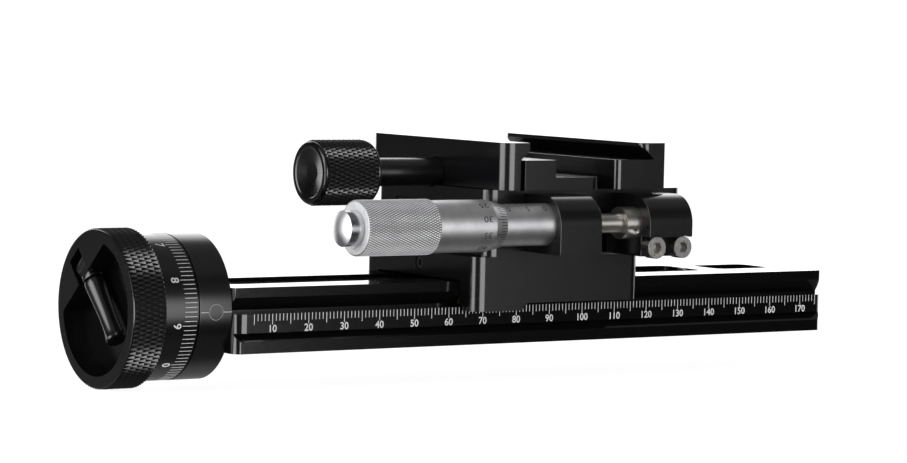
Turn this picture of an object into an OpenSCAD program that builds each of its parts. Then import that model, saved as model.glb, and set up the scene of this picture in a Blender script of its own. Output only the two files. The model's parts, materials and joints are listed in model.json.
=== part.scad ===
// Macro focusing rail: a dovetail rail with a lead screw, a carriage, a
// micrometer stage on the carriage and a quick-release clamp across the top.
// X runs along the rail from the drive knob, Y away from the scale, Z up.
// The origin is the middle of the rail's underside.
// Places along X inside the modules are readings of the rail's scale.

/* [Rail] */
// Length of the rail, from the zero of its scale
rail_len = 178; // [170:1:200]
// Height of the rail
rail_h = 15.6; // [15:0.1:17]
// Width over the scale band
band_w = 38.6; // [38.4:0.1:39.4]
// Width over the lower dovetail
foot_w = 38; // [37.6:0.1:38.4]
// Width over the upper dovetail
lip_w = 36.1; // [35.6:0.1:36.6]
// Height of the scale band's lower edge
band_z0 = 4.9; // [4.6:0.1:5.2]
// Height of the scale band's upper edge
band_z1 = 9.4; // [9.2:0.1:9.8]
// Width of the screw channel
channel_w = 17; // [16:0.5:19]
// Height of the channel's floor
channel_z = 5; // [4.5:0.1:5.2]
// Scale reading where the screw channel ends
channel_end = 146.5; // [140:0.5:150]
// Radius of the rail's upright corners
corner_r = 3; // [1:0.5:4]
// Distance between the two tripod threads
tripod_gap = 60; // [40:2:100]

/* [Coarse drive] */
// Height of the lead screw's axis
screw_z = 10; // [9.8:0.1:10.4]
// Diameter of the lead screw
screw_d = 8; // [6:0.5:8]
// Diameter of the bearing collar and the dial
dial_d = 34.9; // [33:0.1:36]
// Length of the bearing collar
collar_len = 8.6; // [8.6:0.2:12]
// Length of the dial's visible band
dial_len = 9.2; // [9:0.1:13]
// Diameter of the knurled ring
knob_d = 38; // [37:0.2:44]
// Length of the knurled ring
knob_len = 8.8; // [8:0.1:10]
// Outer diameter of the screw's ball bearings
bearing_d = 16; // [14:0.5:16]
// Angle of the folded crank about the screw, from upright towards the back
crank_angle = 42; // [30:1:60]
// Length of the crank's grip
grip_len = 17; // [12:0.5:17]

/* [Carriage] */
// Length of the carriage along the rail
car_len = 50; // [48:0.5:56]
// Width of the carriage and of the stage
car_w = 50; // [49:0.5:54]
// Scale reading at the carriage's near end
car_x = 63.6; // [40:0.1:90]
// Height of the carriage's top
car_top = 21.9; // [21.5:0.1:24]
// Thickness of the drive nut along the screw
nut_len = 14; // [8:0.5:18]

/* [Fine stage] */
// Height of the stage's top
stage_top = 38.2; // [37.5:0.1:42]
// Height of the parting between base and slide
stage_split = 29.7; // [29:0.1:31]
// Length of the slide
slide_len = 59.5; // [58:0.5:64]
// Distance of the micrometer's axis from the stage's front
mic_out = 8.5; // [8:0.1:12]
// Height of the micrometer's axis
mic_z = 30.25; // [30:0.05:32]
// Diameter of the micrometer's sleeve
sleeve_d = 10.2; // [9.5:0.1:10.5]
// Diameter of the thimble
thimble_d = 12.6; // [12:0.1:13]
// Diameter of the thimble's knurled grip
mic_grip_d = 13.3; // [13:0.1:14]
// Length of the thimble
thimble_len = 39.8; // [38:0.2:42]
// Length of the thimble's knurled grip
mic_grip_len = 20.3; // [16:0.1:22]
// Diameter of the spindle
spindle_d = 4.9; // [4.5:0.1:5.2]
// Diameter of the coupling on the spindle
coupling_d = 7.9; // [7.5:0.1:8.5]
// Reading of the micrometer at rest
mic_reading = 12.9; // [11:0.1:13]

/* [Clamp] */
// Length of the clamp's jaws
jaw_len = 60; // [50:1:70]
// Height of the jaws above the stage
jaw_h = 11.5; // [11:0.1:13]
// Height of the seat above the stage
seat_h = 7.4; // [7:0.1:8]
// Opening between the jaws' lips at rest
jaw_open = 34; // [33:0.1:36]
// Height of the clamp screw's axis above the stage
clamp_z = 3.2; // [3:0.1:4]
// Diameter of the clamp knob
clamp_knob_d = 16.2; // [14:0.2:18]
// Length of the clamp knob
clamp_knob_len = 16.3; // [12:0.1:18]
// Diameter of the clamp knob's neck
clamp_neck_d = 7; // [6:0.1:7.4]

/* [Fits] */
// Radial clearance of shafts that turn in a bore
run = 0.05; // [0.03:0.01:0.08]
// Radial clearance of fixed round parts
fixed = 0.03; // [0.02:0.01:0.05]
// Clearance between flat sliding faces
slide_gap = 0.3; // [0.2:0.05:0.4]

/* [Hidden] */
$fn = 96;
rail_x = -rail_len / 2;          // the scale's zero in the part's frame
channel_x0 = 4;                  // near end of the channel
wall_end = channel_end + 7;      // far end of the wall that holds the bush
pocket_end = wall_end + 17;
collar_x = -collar_len;
dial_x1 = collar_x - 0.3;
dial_x0 = dial_x1 - dial_len;
knob_x1 = dial_x0 - 0.02;
knob_x0 = knob_x1 - knob_len;
spigot_r = 11.9;
spigot_x1 = knob_x1 + 6.5;
cup_r = 15.9;
cup_x = knob_x0 + 5.6;
crank_x = knob_x0 + 2.6;         // the folded crank's axis
pin_u = 13;                      // the crank's pivot, out from the screw
land_u = 9.2;                    // edge of the land that carries the pivot
car_x1 = car_x + car_len;
car_mid = car_x + car_len / 2;
front = -car_w / 2;
skirt_z = 10.4;
tab_z = 8.6;
tab_len = 14.3;
cover_y = lip_w / 2 + slide_gap; // inside of the carriage's skirts
stage_x = car_x + 3.2;
stage_x1 = stage_x + slide_len;
base_x1 = stage_x + 33;
apron_x = base_x1 + 3.2;          // where the slide reaches down in front of its base
mic_y = front - mic_out;
b1_x = stage_x + 10.9;
b1_len = 12.3;
b2_x = stage_x1 - 21.7;
b2_len = 13.1;
bracket_r = 7;
thimble_x1 = b1_x - 1.6 - mic_reading;
thimble_x0 = thimble_x1 - thimble_len;
sleeve_x0 = thimble_x1 - 14.4;
thimble_floor = sleeve_x0 - mic_reading - 0.5;
coupling_x = b2_x - 4.6;
jaw_x = stage_x + 1.3;
lip_x = jaw_x + 7.4;
fixed_lip_x = lip_x + jaw_open;
jaw_block_x = fixed_lip_x - 8;
jaw_end_x = stage_x + 49.7;
seat_x = jaw_x + 6.1;
clamp_knob_x1 = jaw_x - 20.7;
clamp_knob_x0 = clamp_knob_x1 - clamp_knob_len;
screw_axis_z = stage_top + clamp_z;
neck_r = clamp_neck_d / 2;
neck_end = jaw_x + 1.8;           // the neck's end, inside the moving jaw
bar_h = 3.2;                      // height of the clamp base's low bar
spindle_r = spindle_d / 2;
// places of screws and pins
collar_screw_y = [-13, 13];
knob_screw_at = [50, 130];        // angles from upright towards the back
nut_screw_x = [car_mid - 4, car_mid + 4];
gib_x = [car_x + 9, car_mid, car_x1 - 9];
base_seat_z = stage_split - 4.2;  // under the heads of the base's screws
base_screw_at = [for (x = [stage_x + 5.5, base_x1 - 5], y = [-19, 19]) [x, y]];
stage_gib_x = [stage_x + 7, stage_x + 17.5, base_x1 - 5];
b1_screw_x = [b1_x + 3, b1_x + b1_len - 3];
b1_screw_z = (car_top + stage_split) / 2 - 0.3;
b2_screw_x = [b2_x + 2.6, b2_x + 10.6];
b2_screw_z = car_top + 2.5;
clamp_screw_at = [for (y = [-22, 22]) [seat_x + 15.2, y]];
fixed_jaw_y = [-15, 15];
jaw_screw_x = jaw_block_x + 8;
guide_y = [-19, 19];
tripod_x = [rail_len / 2 - tripod_gap / 2, rail_len / 2 + tripod_gap / 2];

anodised = [0.11, 0.11, 0.12];
silver = [0.75, 0.76, 0.77];
steel = [0.6, 0.6, 0.6];
bronze = [0.62, 0.45, 0.22];

// ---- shapes that repeat ----

// Puts scale readings along X into the part's frame.
module on_scale() translate([rail_x, 0, 0]) children();

module rod_x(x0, x1, r, y, z) translate([x0, y, z]) rotate([0, 90, 0]) cylinder(h = x1 - x0, r = r);

module rod_y(y0, y1, r, x, z) translate([x, y1, z]) rotate([90, 0, 0]) cylinder(h = y1 - y0, r = r);

module rod_z(z0, z1, r, x, y) translate([x, y, z0]) cylinder(h = z1 - z0, r = r);

// An outline of [y, z] points drawn out from x0 to x1.
module bar_x(x0, x1) translate([x0, 0, 0]) rotate([90, 0, 90]) linear_extrude(x1 - x0) children();

// An outline of [x, z] points drawn out from y0 to y1.
module bar_y(y0, y1) translate([0, y1, 0]) rotate([90, 0, 0]) linear_extrude(y1 - y0) children();

module box(x0, x1, y0, y1, z0, z1) translate([x0, y0, z0]) cube([x1 - x0, y1 - y0, z1 - z0]);

// A rectangle from [x0, y0] to [x1, y1] with round corners.
module soft_rect(x0, x1, y0, y1, r) {
    translate([x0 + r, y0]) square([x1 - x0 - 2 * r, y1 - y0]);
    translate([x0, y0 + r]) square([x1 - x0, y1 - y0 - 2 * r]);
    for (x = [x0 + r, x1 - r], y = [y0 + r, y1 - r])
        translate([x, y]) circle(r = r);
}

module soft_box(x0, x1, y0, y1, z0, z1, r)
    translate([0, 0, z0]) linear_extrude(z1 - z0) soft_rect(x0, x1, y0, y1, r);

// A mirrored outline: half of it as [y, z] points from the middle out.
module both_sides(half) polygon(concat(half, [for (i = [len(half) - 1:-1:0]) [-half[i][0], half[i][1]]]));

// A cap screw along +Z with its head's underside at the origin, head up.
module cap_screw(d, len, head_d, head_h, key) {
    difference() {
        cylinder(h = head_h, r = head_d / 2);
        translate([0, 0, head_h - 1.4]) cylinder(h = 2, r = key / sqrt(3), $fn = 6);
    }
    translate([0, 0, -len]) cylinder(h = len + 0.3, r = d / 2);
}

// A grub screw along +Z with its outer end at the origin.
module grub(d, len, key) difference() {
    translate([0, 0, -len]) cylinder(h = len, r = d / 2);
    translate([0, 0, -1.2]) cylinder(h = 2, r = key / sqrt(3), $fn = 6);
}

// Turns a frame whose +Z points out of the screw's axis to the crank's side.
module at_crank() translate([0, 0, screw_z]) rotate([-crank_angle, 0, 0]) children();

// ---- rail and coarse drive ----

module rail_outline() both_sides([
    [foot_w / 2, 0], [foot_w / 2, 2.8], [foot_w / 2 - 1.5, 4.7], [foot_w / 2 - 1.5, band_z0],
    [band_w / 2, band_z0], [band_w / 2, band_z1], [lip_w / 2 - 2.2, band_z1],
    [lip_w / 2 - 2.2, rail_h - 5.4], [lip_w / 2 - 0.1, rail_h - 2.4], [lip_w / 2, rail_h]]);

module rail() color(anodised) on_scale() difference() {
    intersection() {
        bar_x(0, rail_len) rail_outline();
        soft_box(0, rail_len, -band_w / 2, band_w / 2, -1, rail_h + 1, corner_r);
    }
    soft_box(channel_x0, channel_end, -channel_w / 2, channel_w / 2, channel_z, rail_h + 1, 3);
    soft_box(wall_end, pocket_end, -6.3, 6.3, channel_z, rail_h + 1, 3);
    rod_x(-1, channel_x0 + 1, screw_d / 2 + 0.5, 0, screw_z);
    rod_x(channel_end - 1, wall_end + 1, 5.5, 0, screw_z);
    for (y = collar_screw_y) rod_x(-1, 9, 1.5 + fixed, y, screw_z - 2);
    // tripod threads in the underside, 1/4 inch and 3/8 inch
    rod_z(-1, channel_z + 1, 3.175, tripod_x[0], 0);
    rod_z(-1, channel_z + 1, 4.76, tripod_x[1], 0);
}

module drive_collar() color(anodised) on_scale() difference() {
    rod_x(collar_x, 0, dial_d / 2, 0, screw_z);
    rod_x(collar_x - 1, -0.4, bearing_d / 2 + fixed, 0, screw_z);
    rod_x(-1, 1, screw_d / 2 + 0.5, 0, screw_z);
    for (y = collar_screw_y) {
        rod_x(collar_x - 1, 1, 1.5 + fixed, y, screw_z - 2);
        rod_x(collar_x - 1, collar_x + 3.2, 2.8, y, screw_z - 2);
    }
}

module collar_screws() color(steel) on_scale() for (y = collar_screw_y)
    translate([collar_x + 3.2, y, screw_z - 2]) rotate([0, -90, 0]) cap_screw(3, 13, 5.4, 3, 2.5);

module screw_bearings() color(steel) on_scale() for (x = [collar_x + 0.2, collar_x + 4.2])
    difference() {
        rod_x(x, x + 3.95, bearing_d / 2, 0, screw_z);
        rod_x(x - 1, x + 5, screw_d / 2 + fixed, 0, screw_z);
        for (side = [x - 1, x + 3.55]) difference() {
            rod_x(side, side + 1.4, 6.6, 0, screw_z);
            rod_x(side - 1, side + 2.4, 5.3, 0, screw_z);
        }
    }

module lead_screw() color(steel) on_scale() {
    rod_x(knob_x1 + 2.5, channel_x0 + 2, screw_d / 2, 0, screw_z);
    rod_x(channel_x0 + 1, channel_end - 1, screw_d / 2 - 0.35, 0, screw_z);
    rod_x(channel_end - 2, pocket_end - 8, 2.5, 0, screw_z);
}

module end_bush() color(bronze) on_scale() difference() {
    rod_x(channel_end - 1, wall_end, 5.5 - fixed, 0, screw_z);
    rod_x(channel_end - 2, wall_end + 1, 2.5 + run, 0, screw_z);
}

module end_nut() color(steel) on_scale() difference() {
    rod_x(wall_end + 0.3, wall_end + 5.3, 5, 0, screw_z);
    rod_x(wall_end, wall_end + 6, 2.5 + fixed, 0, screw_z);
}

module dial() color(anodised) on_scale() difference() {
    rod_x(dial_x0, dial_x1, dial_d / 2 - 0.05, 0, screw_z);
    rod_x(dial_x0 - 1, spigot_x1 + 0.1, spigot_r + fixed, 0, screw_z);
    rod_x(dial_x0, dial_x1 + 1, screw_d / 2 + fixed, 0, screw_z);
    knob_holes(1.5 + fixed);
}

// Radial holes for the grub screws that hold dial, knob and lead screw.
module knob_holes(r) for (a = knob_screw_at)
    translate([dial_x0 + 3.2, 0, screw_z]) rotate([-a, 0, 0]) cylinder(h = 30, r = r);

module hand_knob() color(anodised) on_scale() difference() {
    union() {
        rod_x(knob_x0 + 0.35, knob_x1 - 0.35, knob_d / 2, 0, screw_z);
        rod_x(knob_x0, knob_x1, knob_d / 2 - 0.35, 0, screw_z);
        rod_x(knob_x1 - 1, spigot_x1, spigot_r, 0, screw_z);
    }
    difference() {
        rod_x(knob_x0 - 1, cup_x, cup_r, 0, screw_z);
        at_crank() box(knob_x0, cup_x + 1, -cup_r, cup_r, land_u, cup_r + 2);
    }
    // slot for the crank's foot
    at_crank() box(knob_x0 - 1, cup_x - 0.4, -2.8, 2.8, land_u - 1, pin_u + 3.1);
    at_crank() rod_y(-6, 6, 1 + fixed, crank_x, pin_u);
    rod_x(knob_x1 + 2.4, spigot_x1 + 1, screw_d / 2 + fixed, 0, screw_z);
    knob_holes(1.5 + fixed);
}

module knob_set_screws() color(steel) on_scale() for (a = knob_screw_at)
    translate([dial_x0 + 3.2, 0, screw_z]) rotate([-a, 0, 0])
        translate([0, 0, 12.5]) grub(3, 8.35, 1.5);

module crank_pin() color(steel) on_scale() at_crank() rod_y(-5.9, 5.9, 1, crank_x, pin_u);

// The folded crank lies across the cup, from its pivot towards -Z here.
module crank_arm() color(steel) on_scale() at_crank() difference() {
    union() {
        rod_y(-2, 2, 2.2, crank_x, pin_u);
        box(crank_x - 1.8, crank_x + 1.8, -2, 2, pin_u - 3.4, pin_u);
        rod_z(pin_u - 4.6, pin_u - 3.3, 2.5, crank_x, 0);
        rod_z(pin_u - 4.3 - grip_len, pin_u - 4.5, 1.1, crank_x, 0);
    }
    rod_y(-3, 3, 1 + run, crank_x, pin_u);
}

module crank_grip() color(anodised) on_scale() at_crank()
    translate([crank_x, 0, pin_u - 5.2 - grip_len]) difference() {
        rotate_extrude() polygon(concat(
            [[0, 0], [2.3, 0]],
            [for (t = [0:0.1:1]) [2.65 - 0.95 * sin(180 * pow(t, 0.7)), 0.5 + t * (grip_len - 0.9)]],
            [[2.4, grip_len], [0, grip_len]]));
        translate([0, 0, 0.6]) cylinder(h = grip_len, r = 1.1 + run);
    }

// ---- carriage ----

module carriage() color(anodised) on_scale() difference() {
    soft_box(car_x, car_x1, front, -front, tab_z, car_top, 3);
    // tunnel over the rail
    box(car_x - 1, car_x1 + 1, -cover_y, cover_y, 0, rail_h + slide_gap);
    box(car_x - 1, car_x1 + 1, -band_w / 2 - slide_gap, band_w / 2 + slide_gap, 0, band_z1 + slide_gap);
    // skirts end above the index tab
    bar_y(front - 1, 0) soft_rect(car_x + tab_len, car_x1 + 9, 0, skirt_z, 2);
    box(car_x - 1, car_x1 + 1, 0, -front + 1, 0, skirt_z);
    // room for the drive nut's head and its screws
    for (x = nut_screw_x) {
        rod_z(rail_h, car_top + 1, 1.5 + fixed, x, 0);
        rod_z(car_top - 3.2, car_top + 1, 2.9, x, 0);
    }
    rod_x(car_x - 1, car_x + 9, 1.6, 0, 18.9);
    for (x = gib_x) rod_y(cover_y - 1, -front + 1, 1.5 + fixed, x, 13);
    for (p = base_screw_at) rod_z(rail_h, car_top + 1, 1.5 + fixed, p[0], p[1]);
}

// A strip beside the tunnel that reaches under the rail's upper lip.
module flank(side) bar_x(car_x + 0.5, car_x1 - 0.5) polygon([
    [side * (cover_y - 0.02), band_z1 + 0.7], [side * (lip_w / 2 - 1.8), band_z1 + 0.7],
    [side * (lip_w / 2 - 1.8), rail_h - 5.5], [side * (lip_w / 2 + 0.2), rail_h - 2.6],
    [side * (cover_y - 0.02), rail_h - 2.6]]);

module carriage_gibs() color(bronze) on_scale() for (side = [-1, 1]) flank(side);

module gib_screws() color(steel) on_scale() for (x = gib_x)
    translate([x, -front - 0.4, 13]) rotate([-90, 0, 0]) grub(3, -front - 0.4 - cover_y, 1.5);

module drive_nut() color(bronze) on_scale() difference() {
    box(car_mid - nut_len / 2, car_mid + nut_len / 2, -7.5, 7.5, channel_z + 0.6, rail_h + slide_gap);
    rod_x(car_mid - 20, car_mid + 20, screw_d / 2 - 0.35 + run, 0, screw_z);
    for (x = nut_screw_x) rod_z(rail_h - 1.4, rail_h + 1, 1.5 + fixed, x, 0);
}

module nut_screws() color(steel) on_scale() for (x = nut_screw_x)
    translate([x, 0, car_top - 3.2]) cap_screw(3, 4.3, 5.6, 3, 2.5);

module carriage_set_screw() color(steel) on_scale()
    translate([car_x + 0.4, 0, 18.9]) rotate([0, -90, 0]) grub(3.1, 5, 1.5);

// ---- fine stage ----

// Male dovetail outline, from the parting up, wider at its top.
module tail_outline(grow, gib_room) polygon([
    [-11 - grow, stage_split - 1], [-11 - grow, stage_split + 0.3], [-13.6 - grow, stage_split + 4.6 + grow],
    [13.6 + gib_room + grow, stage_split + 4.6 + grow], [11 + gib_room + grow, stage_split + 0.3],
    [11 + gib_room + grow, stage_split - 1]]);

module stage_base() color(anodised) on_scale() difference() {
    union() {
        soft_box(stage_x, base_x1, front, -front, car_top, stage_split - slide_gap / 2, 3);
        bar_x(stage_x + 0.5, base_x1 - 0.5) tail_outline(0, 0);
    }
    for (p = base_screw_at) {
        rod_z(car_top - 1, stage_split + 1, 1.5 + fixed, p[0], p[1]);
        rod_z(base_seat_z, stage_split + 1, 2.9, p[0], p[1]);
    }
    for (x = b1_screw_x) {
        rod_y(front - 1, front + 12, 1.25 + fixed, x, b1_screw_z);
        rod_y(front + 6, front + 14, 2.6, x, b1_screw_z);
        box(x - 2.6, x + 2.6, front + 6, front + 14, car_top - 1, b1_screw_z);
    }
}

module base_screws() color(steel) on_scale() for (p = base_screw_at)
    translate([p[0], p[1], base_seat_z]) cap_screw(3, base_seat_z - car_top + 4.4, 5.6, 3, 2.5);

module stage_slide() color(anodised) on_scale() difference() {
    soft_box(stage_x, stage_x1, front, -front, car_top + slide_gap, stage_top, 3);
    box(stage_x - 1, apron_x, front - 1, -front + 1, 0, stage_split + slide_gap / 2);
    bar_x(stage_x - 1, apron_x) tail_outline(0.15, 2.2);
    for (x = stage_gib_x) rod_y(13, -front + 1, 1.25 + fixed, x, stage_split + 2.6);
    for (x = b2_screw_x) rod_y(front - 1, front + 6, 1.5 + fixed, x, b2_screw_z);
    // shallow groove under the clamp screw's neck
    rod_x(stage_x - 1, neck_end + 2.2, neck_r + 0.3, 0, screw_axis_z);
    for (p = clamp_screw_at) rod_z(stage_top - 3, stage_top + 1, 1.5 + fixed, p[0], p[1]);
    for (y = fixed_jaw_y) {
        rod_z(0, stage_top + 1, 1.5 + fixed, jaw_screw_x, y);
        rod_z(0, stage_top - 5, 2.9, jaw_screw_x, y);
    }
}

// The gib fills the slack on the dovetail's far flank.
module stage_gib() color(bronze) on_scale() bar_x(stage_x + 0.5, base_x1 - 1) polygon([
    [11.25, stage_split + 0.45], [13.1, stage_split + 0.45], [15.5, stage_split + 4.4],
    [13.65, stage_split + 4.4]]);

module stage_gib_screws() color(steel) on_scale() for (x = stage_gib_x)
    translate([x, -front - 0.4, stage_split + 2.6]) rotate([-90, 0, 0]) grub(2.5, -front - 15.7, 1.3);

// Bracket outline: a block with its outer upper edge rounded about the axis.
module bracket_outline(z0) {
    translate([mic_y, mic_z]) circle(r = bracket_r);
    translate([mic_y, z0]) square([front - mic_y, mic_z + bracket_r - z0]);
    translate([mic_y - bracket_r, z0]) square([bracket_r + 1, mic_z - z0]);
}

module micrometer_bracket() color(anodised) on_scale() difference() {
    bar_x(b1_x, b1_x + b1_len) bracket_outline(car_top + 1.2);
    box(b1_x - 1, b1_x + b1_len + 1, front - slide_gap, front + 1, stage_split - slide_gap / 2, 60);
    rod_x(b1_x - 1, b1_x + b1_len + 1, sleeve_d / 2 + fixed, mic_y, mic_z);
    for (x = b1_screw_x) rod_y(front - 4.4, front + 1, 1.25 + fixed, x, b1_screw_z);
}

module bracket_screws() color(steel) on_scale() for (x = b1_screw_x)
    translate([x, front + 6, b1_screw_z]) rotate([-90, 0, 0]) cap_screw(2.5, 10, 4.5, 2.5, 2);

module micrometer_sleeve() color(silver) on_scale() difference() {
    rod_x(sleeve_x0, b1_x + b1_len, sleeve_d / 2, mic_y, mic_z);
    rod_x(sleeve_x0 - 1, b1_x + b1_len + 1, spindle_r + run, mic_y, mic_z);
}

module micrometer_thimble() color(silver) on_scale() difference() {
    union() {
        rod_x(thimble_x0 + mic_grip_len - 0.2, thimble_x1 - 3.6, thimble_d / 2, mic_y, mic_z);
        translate([thimble_x1 - 3.6, mic_y, mic_z]) rotate([0, 90, 0])
            cylinder(h = 3.6, r1 = thimble_d / 2, r2 = sleeve_d / 2 + 0.4);
        rod_x(thimble_x0, thimble_x0 + mic_grip_len, mic_grip_d / 2, mic_y, mic_z);
    }
    rod_x(thimble_floor, thimble_x1 + 1, sleeve_d / 2 + 0.1, mic_y, mic_z);
    rod_x(thimble_x0 - 1, thimble_floor + 1, 2, mic_y, mic_z);
}

// Chrome cap with a domed face, screwed into the thimble's end.
module thimble_cap() color(silver) on_scale() {
    translate([thimble_x0, mic_y, mic_z]) rotate([0, -90, 0]) rotate_extrude()
        intersection() {
            translate([0, 4.4 - 11.8]) circle(r = 11.8);
            square([4.3, 5]);
        }
    rod_x(thimble_x0 - 0.5, thimble_x0 + 4, 1.95, mic_y, mic_z);
}

module micrometer_spindle() color(steel) on_scale() {
    rod_x(thimble_x0 + 5, thimble_floor + 0.1, 1.97, mic_y, mic_z);
    rod_x(thimble_floor, b2_x + 4, spindle_r, mic_y, mic_z);
}

module spindle_coupling() color(steel) on_scale() difference() {
    rod_x(coupling_x, b2_x + b2_len - 2, coupling_d / 2, mic_y, mic_z);
    rod_x(coupling_x - 1, b2_x + 4.2, spindle_r + run, mic_y, mic_z);
    translate([coupling_x + 3, mic_y, mic_z]) rotate([110, 0, 0]) cylinder(h = 9, r = 0.8 + fixed);
}

module coupling_set_screw() color(steel) on_scale()
    translate([coupling_x + 3, mic_y, mic_z]) rotate([110, 0, 0])
        translate([0, 0, coupling_d / 2 - 0.2]) grub(1.6, 1.2, 0.7);

module drive_bracket() color(anodised) on_scale() difference() {
    bar_x(b2_x, b2_x + b2_len) bracket_outline(car_top + 0.2);
    rod_x(b2_x - 1, b2_x + b2_len + 1, coupling_d / 2 + fixed, mic_y, mic_z);
    // foot set back for the two screws, with a scallop over each
    box(b2_x - 1, b2_x + b2_len + 1, mic_y - 9, front - 12, 0, 27);
    for (x = b2_screw_x) {
        rod_y(mic_y - 9, front - 12, 3, x, b2_screw_z);
        rod_y(mic_y - 9, front + 1, 1.5 + fixed, x, b2_screw_z);
    }
}

module drive_bracket_screws() color(steel) on_scale() for (x = b2_screw_x)
    translate([x, front - 12, b2_screw_z]) rotate([90, 0, 0]) cap_screw(3, 17, 5.4, 3, 2.5);

// ---- clamp ----

module clamp_base() color(anodised) on_scale() difference() {
    union() {
        box(seat_x, seat_x + 9.2, -jaw_len / 2, jaw_len / 2, stage_top, stage_top + seat_h);
        soft_box(seat_x + 4, seat_x + 23.3, -jaw_len / 2, jaw_len / 2, stage_top, stage_top + bar_h, 3);
    }
    rod_x(seat_x - 1, seat_x + 22, 2 + run, 0, screw_axis_z);
    for (y = guide_y) rod_x(seat_x - 1, seat_x + 8, 1.5 + fixed, y, screw_axis_z - 0.4);
    for (p = clamp_screw_at) {
        rod_z(stage_top - 1, stage_top + 5, 1.5 + fixed, p[0], p[1]);
        rod_z(stage_top + 1.1, stage_top + 5, 2.9, p[0], p[1]);
    }
}

module clamp_base_screws() color(steel) on_scale() for (p = clamp_screw_at)
    translate([p[0], p[1], stage_top + 1.1]) cap_screw(3, 3.6, 5.6, 1.9, 2);

// Jaw outline as [x, z] points from its back; the lip leans over the seat.
module jaw_outline(depth) polygon([
    [0, 0], [4.8, 0], [4.8, seat_h - 0.1], [depth, jaw_h - 2], [depth, jaw_h], [0, jaw_h]]);

module moving_jaw() color(anodised) on_scale() difference() {
    intersection() {
        translate([jaw_x, 0, stage_top + slide_gap / 2]) bar_y(-jaw_len / 2, jaw_len / 2) jaw_outline(7.4);
        soft_box(jaw_x, jaw_x + 20, -jaw_len / 2, jaw_len / 2, 0, 80, 3);
    }
    rod_x(jaw_x - 1, jaw_x + 8, 2.2 + run, 0, screw_axis_z);
    rod_x(jaw_x - 1, jaw_x + 2, neck_r + 0.25, 0, screw_axis_z);
    for (y = guide_y) rod_x(jaw_x + 0.8, jaw_x + 8, 1.5 + run, y, screw_axis_z - 0.4);
}

module jaw_guide_pins() color(steel) on_scale() for (y = guide_y)
    rod_x(jaw_x + 2.2, seat_x + 7.9, 1.5, y, screw_axis_z - 0.4);

module fixed_jaw() color(anodised) on_scale() difference() {
    union() {
        soft_box(jaw_block_x, jaw_end_x - 1, -jaw_len / 2, jaw_len / 2, stage_top, stage_top + seat_h, 1.6);
        box(jaw_block_x + 3, jaw_end_x, -jaw_len / 2, jaw_len / 2, stage_top, stage_top + seat_h);
        intersection() {
            translate([0, 0, stage_top]) bar_y(-jaw_len / 2, jaw_len / 2) polygon([
                [jaw_end_x, seat_h - 3], [jaw_end_x, jaw_h], [fixed_lip_x, jaw_h],
                [fixed_lip_x, jaw_h - 0.9], [fixed_lip_x + 4, seat_h], [fixed_lip_x + 4, seat_h - 3]]);
            soft_box(fixed_lip_x, jaw_end_x + 9, -jaw_len / 2, jaw_len / 2, 0, 80, 2);
        }
    }
    for (y = fixed_jaw_y) rod_z(0, stage_top + 5, 1.5 + fixed, jaw_screw_x, y);
}

module fixed_jaw_screws() color(steel) on_scale() for (y = fixed_jaw_y)
    translate([jaw_screw_x, y, stage_top - 5]) mirror([0, 0, 1]) cap_screw(3, 9, 5.6, 2.8, 2.5);

module clamp_screw() color(anodised) on_scale() {
    rod_x(clamp_knob_x1 - 8, seat_x - 1.5, 2.2, 0, screw_axis_z);
    rod_x(clamp_knob_x1 + 0.02, neck_end, neck_r, 0, screw_axis_z);
    rod_x(seat_x - 1.6, seat_x + 12, 2, 0, screw_axis_z);
}

module clamp_knob() color(anodised) on_scale() difference() {
    union() {
        rod_x(clamp_knob_x0 + 0.6, clamp_knob_x1 - 0.5, clamp_knob_d / 2, 0, screw_axis_z);
        rod_x(clamp_knob_x0, clamp_knob_x1, clamp_knob_d / 2 - 0.5, 0, screw_axis_z);
    }
    // dished face with a flat middle
    translate([clamp_knob_x0 - 0.01, 0, screw_axis_z]) rotate([0, 90, 0])
        cylinder(h = 1.1, r1 = 6.3, r2 = 3);
    rod_x(clamp_knob_x1 - 8, clamp_knob_x1 + 1, 2.2 + fixed, 0, screw_axis_z);
}

rail();
drive_collar();
collar_screws();
screw_bearings();
lead_screw();
end_bush();
end_nut();
dial();
hand_knob();
knob_set_screws();
crank_pin();
crank_arm();
crank_grip();
carriage();
carriage_gibs();
gib_screws();
drive_nut();
nut_screws();
carriage_set_screw();
stage_base();
base_screws();
stage_slide();
stage_gib();
stage_gib_screws();
micrometer_bracket();
bracket_screws();
micrometer_sleeve();
micrometer_thimble();
thimble_cap();
micrometer_spindle();
spindle_coupling();
coupling_set_screw();
drive_bracket();
drive_bracket_screws();
clamp_base();
clamp_base_screws();
fixed_jaw();
fixed_jaw_screws();
moving_jaw();
jaw_guide_pins();
clamp_screw();
clamp_knob();
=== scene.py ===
import json
import math

import bmesh
import bpy
from mathutils import Matrix, Vector


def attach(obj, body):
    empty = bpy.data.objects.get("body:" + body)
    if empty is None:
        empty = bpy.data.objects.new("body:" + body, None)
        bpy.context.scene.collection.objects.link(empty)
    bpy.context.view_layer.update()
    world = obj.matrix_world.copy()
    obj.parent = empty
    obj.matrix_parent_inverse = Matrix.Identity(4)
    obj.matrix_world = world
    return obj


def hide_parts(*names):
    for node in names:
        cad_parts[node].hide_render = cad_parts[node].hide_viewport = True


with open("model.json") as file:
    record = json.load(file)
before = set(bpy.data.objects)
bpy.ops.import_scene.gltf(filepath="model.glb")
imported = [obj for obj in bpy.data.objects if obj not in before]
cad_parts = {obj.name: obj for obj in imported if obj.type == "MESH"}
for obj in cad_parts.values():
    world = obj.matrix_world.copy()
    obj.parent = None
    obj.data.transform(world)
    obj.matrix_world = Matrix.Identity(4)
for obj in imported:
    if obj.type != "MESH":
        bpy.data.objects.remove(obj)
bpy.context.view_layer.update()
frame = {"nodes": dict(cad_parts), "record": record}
nodes = frame["nodes"]
mm = 0.001
railMiddle = 89     # what the rail's scale reads at its middle
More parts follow.
